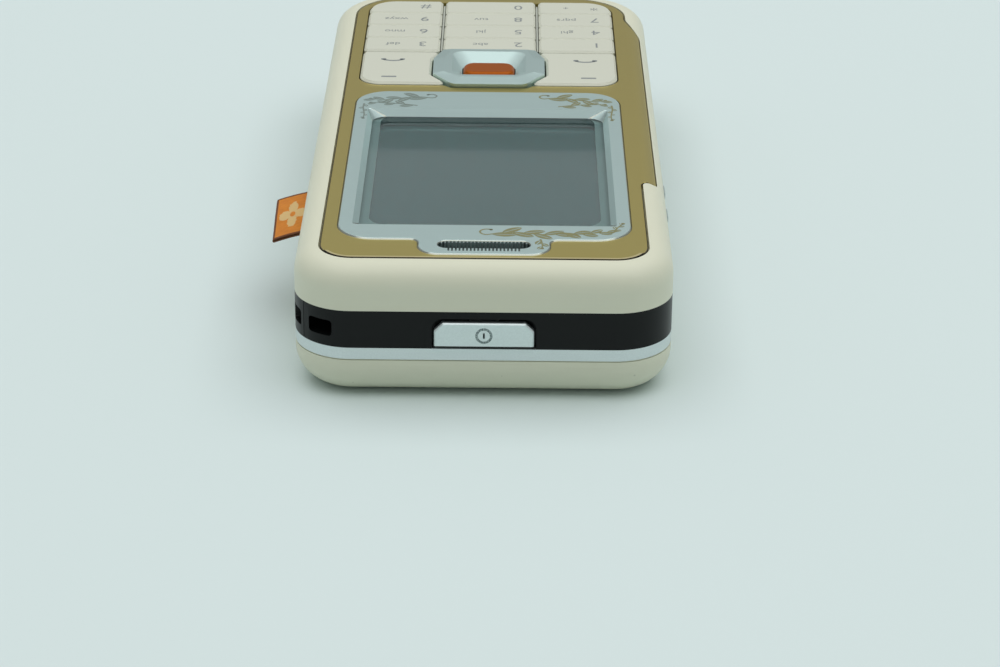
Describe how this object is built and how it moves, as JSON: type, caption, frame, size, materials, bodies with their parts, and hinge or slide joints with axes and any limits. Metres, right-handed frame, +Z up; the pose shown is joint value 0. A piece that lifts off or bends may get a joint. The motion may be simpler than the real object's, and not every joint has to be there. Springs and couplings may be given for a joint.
{
  "type": "candybar mobile phone",
  "caption": "One-piece mobile phone with a colour display, a four-way navigation key, a number pad, side keys, a sliding back cover and a fabric tag.",
  "frame": {"origin": "middle of the back face, on which the phone lies", "axes": "+X to the right across the face with the earpiece end towards the viewer, +Y from the earpiece end to the connector end, +Z up out of the face"},
  "size_m": [0.0499, 0.1053, 0.0178],
  "materials": {
    "cream_plastic": "smooth painted plastic, satin",
    "silver_trim": "satin metallic",
    "black_band": "fine satin",
    "gold_plate": "satin metallic with a bright edge and a fine printed ornament",
    "silver_frame": "satin metallic with polished bevels",
    "window_pane": "clear, polished",
    "silver_key": "satin metallic",
    "orange_key": "metallic gloss",
    "cream_keys": "pearl satin with printed characters",
    "grey_keys": "satin metallic",
    "orange_fabric": "woven ribbon",
    "dark_mesh": "fine comb",
    "screen": "dark switched-off screen in a metal tray",
    "soft_rubber": "matt silicone",
    "board_green": "solder mask",
    "dome_film": "film over steel domes",
    "tin_steel": "tinned sheet",
    "screw_steel": "blackened steel",
    "contact_gold": "plain",
    "battery_wrap": "printed film, left bare",
    "socket_black": "moulded"
  },
  "bodies": {
    "phone": {"front_shell": "cream_plastic", "rear_shell": "cream_plastic", "trim_ring": "silver_trim", "mid_chassis": "black_band", "front_plate": "gold_plate", "display_bezel": "silver_frame", "display_window": "window_pane", "camera_window": "window_pane", "fabric_tag": "orange_fabric", "earpiece_grille": "dark_mesh", "display_module": "screen", "key_mat": "soft_rubber", "display_gasket": "soft_rubber", "circuit_board": "board_green", "dome_sheet": "dome_film", "shield_cans": "tin_steel", "vibration_motor": "tin_steel", "earpiece": "tin_steel", "loudspeaker": "tin_steel", "housing_screws": "screw_steel", "battery_contacts": "contact_gold", "battery": "battery_wrap", "charging_jack": "socket_black", "system_connector": "socket_black", "microphone": "socket_black", "power_switch": "socket_black", "volume_switches": "socket_black", "sim_holder": "socket_black", "antenna_carrier": "socket_black", "camera_module": "socket_black"},
    "key_1": {"key_1": "cream_keys"},
    "key_2": {"key_2": "cream_keys"},
    "key_3": {"key_3": "cream_keys"},
    "key_4": {"key_4": "cream_keys"},
    "key_5": {"key_5": "cream_keys"},
    "key_6": {"key_6": "cream_keys"},
    "key_7": {"key_7": "cream_keys"},
    "key_8": {"key_8": "cream_keys"},
    "key_9": {"key_9": "cream_keys"},
    "key_star": {"key_star": "cream_keys"},
    "key_0": {"key_0": "cream_keys"},
    "key_hash": {"key_hash": "cream_keys"},
    "soft_key_left": {"soft_key_left": "cream_keys"},
    "soft_key_right": {"soft_key_right": "cream_keys"},
    "nav_pad": {"nav_pad": "soft_rubber"},
    "nav_key": {"nav_key": "silver_key"},
    "centre_key": {"centre_key": "orange_key"},
    "power_key": {"power_key": "silver_key"},
    "volume_up_key": {"volume_up_key": "grey_keys"},
    "volume_down_key": {"volume_down_key": "grey_keys"},
    "battery_cover": {"battery_cover": "cream_plastic"},
    "motor_weight": {"motor_weight": "contact_gold"}
  },
  "joints": [
    {"name": "key_1_press", "type": "slide", "parent": "phone", "child": "key_1", "axis": [0, 0, -1], "range_m": [0, 0.0004], "stiffness_N_per_m": 200, "springref_m": -0.0005},
    {"name": "key_2_press", "type": "slide", "parent": "phone", "child": "key_2", "axis": [0, 0, -1], "range_m": [0, 0.0004], "stiffness_N_per_m": 200, "springref_m": -0.0005},
    {"name": "key_3_press", "type": "slide", "parent": "phone", "child": "key_3", "axis": [0, 0, -1], "range_m": [0, 0.0004], "stiffness_N_per_m": 200, "springref_m": -0.0005},
    {"name": "key_4_press", "type": "slide", "parent": "phone", "child": "key_4", "axis": [0, 0, -1], "range_m": [0, 0.0004], "stiffness_N_per_m": 200, "springref_m": -0.0005},
    {"name": "key_5_press", "type": "slide", "parent": "phone", "child": "key_5", "axis": [0, 0, -1], "range_m": [0, 0.0004], "stiffness_N_per_m": 200, "springref_m": -0.0005},
    {"name": "key_6_press", "type": "slide", "parent": "phone", "child": "key_6", "axis": [0, 0, -1], "range_m": [0, 0.0004], "stiffness_N_per_m": 200, "springref_m": -0.0005},
    {"name": "key_7_press", "type": "slide", "parent": "phone", "child": "key_7", "axis": [0, 0, -1], "range_m": [0, 0.0004], "stiffness_N_per_m": 200, "springref_m": -0.0005},
    {"name": "key_8_press", "type": "slide", "parent": "phone", "child": "key_8", "axis": [0, 0, -1], "range_m": [0, 0.0004], "stiffness_N_per_m": 200, "springref_m": -0.0005},
    {"name": "key_9_press", "type": "slide", "parent": "phone", "child": "key_9", "axis": [0, 0, -1], "range_m": [0, 0.0004], "stiffness_N_per_m": 200, "springref_m": -0.0005},
    {"name": "key_star_press", "type": "slide", "parent": "phone", "child": "key_star", "axis": [0, 0, -1], "range_m": [0, 0.0004], "stiffness_N_per_m": 200, "springref_m": -0.0005},
    {"name": "key_0_press", "type": "slide", "parent": "phone", "child": "key_0", "axis": [0, 0, -1], "range_m": [0, 0.0004], "stiffness_N_per_m": 200, "springref_m": -0.0005},
    {"name": "key_hash_press", "type": "slide", "parent": "phone", "child": "key_hash", "axis": [0, 0, -1], "range_m": [0, 0.0004], "stiffness_N_per_m": 200, "springref_m": -0.0005},
    {"name": "soft_key_left_rock", "type": "hinge", "parent": "phone", "child": "soft_key_left", "pos_m": [0.0128, 0.01701, 0.0146], "axis": [1, 0, 0], "range_deg": [-1.5, 1.5], "stiffness_Nm_per_rad": 0.05},
    {"name": "soft_key_right_rock", "type": "hinge", "parent": "phone", "child": "soft_key_right", "pos_m": [-0.0128, 0.01701, 0.0146], "axis": [1, 0, 0], "range_deg": [-1.5, 1.5], "stiffness_Nm_per_rad": 0.05},
    {"name": "nav_pad_rock", "type": "hinge", "parent": "phone", "child": "nav_pad", "pos_m": [0, 0.01681, 0.0133], "axis": [0, 1, 0], "range_deg": [-2, 2], "stiffness_Nm_per_rad": 0.05},
    {"name": "nav_key_rock", "type": "hinge", "parent": "nav_pad", "child": "nav_key", "pos_m": [0, 0.01681, 0.0146], "axis": [1, 0, 0], "range_deg": [-2, 2], "stiffness_Nm_per_rad": 0.05},
    {"name": "centre_key_press", "type": "slide", "parent": "nav_key", "child": "centre_key", "axis": [0, 0, -1], "range_m": [0, 0.0003], "stiffness_N_per_m": 200, "springref_m": -0.0005},
    {"name": "power_key_press", "type": "slide", "parent": "phone", "child": "power_key", "axis": [0, 1, 0], "range_m": [0, 0.0004], "stiffness_N_per_m": 200, "springref_m": -0.0005},
    {"name": "volume_up_press", "type": "slide", "parent": "phone", "child": "volume_up_key", "axis": [-1, 0, 0], "range_m": [0, 0.00035], "stiffness_N_per_m": 200, "springref_m": -0.0005},
    {"name": "volume_down_press", "type": "slide", "parent": "phone", "child": "volume_down_key", "axis": [-1, 0, 0], "range_m": [0, 0.00035], "stiffness_N_per_m": 200, "springref_m": -0.0005},
    {"name": "battery_cover_slide", "type": "slide", "parent": "phone", "child": "battery_cover", "axis": [0, 1, 0], "range_m": [0, 0.008]},
    {"name": "motor_spin", "type": "hinge", "parent": "phone", "child": "motor_weight", "pos_m": [0.0055, -0.032, 0.00435], "axis": [1, 0, 0], "continuous": true}
  ]
}
